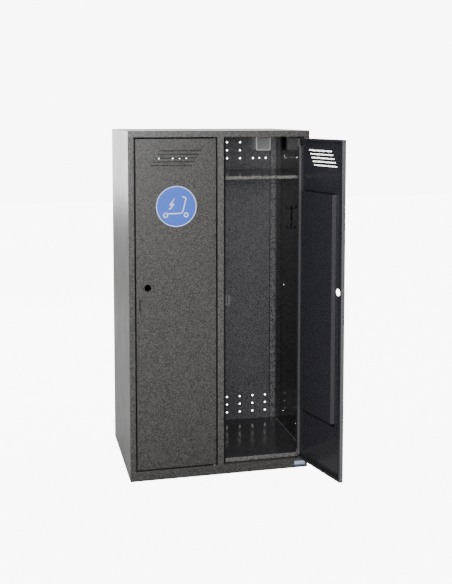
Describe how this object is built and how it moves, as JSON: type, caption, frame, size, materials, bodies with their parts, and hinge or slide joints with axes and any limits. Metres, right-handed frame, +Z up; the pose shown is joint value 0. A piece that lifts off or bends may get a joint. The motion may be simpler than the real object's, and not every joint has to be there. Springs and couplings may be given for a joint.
{
  "type": "scooter charging locker",
  "caption": "Upright steel locker for charging kick scooters: vented pin-hinged doors, side-by-side compartments with shelf, coat hook and a socket under a spring flap.",
  "frame": {"origin": "centre of the cabinet's base on the ground", "axes": "+Z up, doors face -Y, +X to the right of someone in front"},
  "size_m": [1.0089, 1.1098, 1.8],
  "materials": {
    "textured_paint": "charcoal powder coat with a fine hammered texture",
    "inner_paint": "satin black paint",
    "floor_paint": "semi-gloss black paint",
    "hook_steel": "black coated steel",
    "zinc_steel": "zinc plated",
    "black_nylon": "moulded nylon",
    "rubber": "matt black rubber",
    "cable_sheath": "black cable sheath",
    "grey_plastic": "light grey moulded plastic, satin",
    "box_plastic": "light grey moulded plastic",
    "insert_plastic": "pale grey moulded plastic",
    "sign_vinyl": "blue printed sign",
    "plate_plastic": "blank pale plate"
  },
  "bodies": {
    "cabinet": {"base_rail": "textured_paint", "rear_rail": "textured_paint", "left_side_panel": "textured_paint", "right_side_panel": "textured_paint", "centre_post": "textured_paint", "centre_partition": "textured_paint", "back_panel": "textured_paint", "corner_angles": "textured_paint", "ceiling_panel": "textured_paint", "top_cap": "textured_paint", "left_floor": "floor_paint", "right_floor": "floor_paint", "left_shelf": "textured_paint", "right_shelf": "textured_paint", "shelf_brackets": "textured_paint", "left_strike_plate": "textured_paint", "right_strike_plate": "textured_paint", "left_coat_hook": "hook_steel", "right_coat_hook": "hook_steel", "hook_rivets": "zinc_steel", "panel_rivets": "zinc_steel", "door_buffers": "rubber", "lower_hinge_pins": "zinc_steel", "upper_hinge_bushes": "black_nylon", "left_socket_box": "grey_plastic", "right_socket_box": "grey_plastic", "left_socket_insert": "insert_plastic", "right_socket_insert": "insert_plastic", "left_flap_pin": "zinc_steel", "right_flap_pin": "zinc_steel", "flap_springs": "zinc_steel", "junction_box": "box_plastic", "junction_box_lid": "box_plastic", "junction_box_screws": "zinc_steel", "inlet_gland": "grey_plastic", "left_supply_lead": "cable_sheath", "right_supply_lead": "cable_sheath", "lead_clips": "black_nylon", "lead_grommets": "rubber", "blank_plate": "plate_plastic"},
    "left_door": {"left_door": "textured_paint", "left_door_stiffener": "inner_paint", "left_door_bush": "black_nylon", "left_door_pin": "zinc_steel", "left_door_pin_bracket": "zinc_steel", "left_door_sign": "sign_vinyl"},
    "right_door": {"right_door": "textured_paint", "right_door_stiffener": "inner_paint", "right_door_bush": "black_nylon", "right_door_pin": "zinc_steel", "right_door_pin_bracket": "zinc_steel"},
    "left_flap": {"left_socket_flap": "grey_plastic"},
    "right_flap": {"right_socket_flap": "grey_plastic"}
  },
  "joints": [
    {"name": "left_door_hinge", "type": "hinge", "parent": "cabinet", "child": "left_door", "pos_m": [-0.032, -0.352, 0.9], "axis": [0, 0, 1], "range_deg": [0, 110]},
    {"name": "right_door_hinge", "type": "hinge", "parent": "cabinet", "child": "right_door", "pos_m": [0.43, -0.352, 0.9], "axis": [0, 0, 1], "range_deg": [-103.7, 6.3]},
    {"name": "left_flap_hinge", "type": "hinge", "parent": "cabinet", "child": "left_flap", "pos_m": [-0.0936, 0.2025, 1.7455], "axis": [-1, 0, 0], "range_deg": [0, 95], "stiffness_Nm_per_rad": 0.01, "springref_deg": -28.65},
    {"name": "right_flap_hinge", "type": "hinge", "parent": "cabinet", "child": "right_flap", "pos_m": [0.3808, 0.2025, 1.7455], "axis": [-1, 0, 0], "range_deg": [0, 95], "stiffness_Nm_per_rad": 0.01, "springref_deg": -28.65}
  ]
}
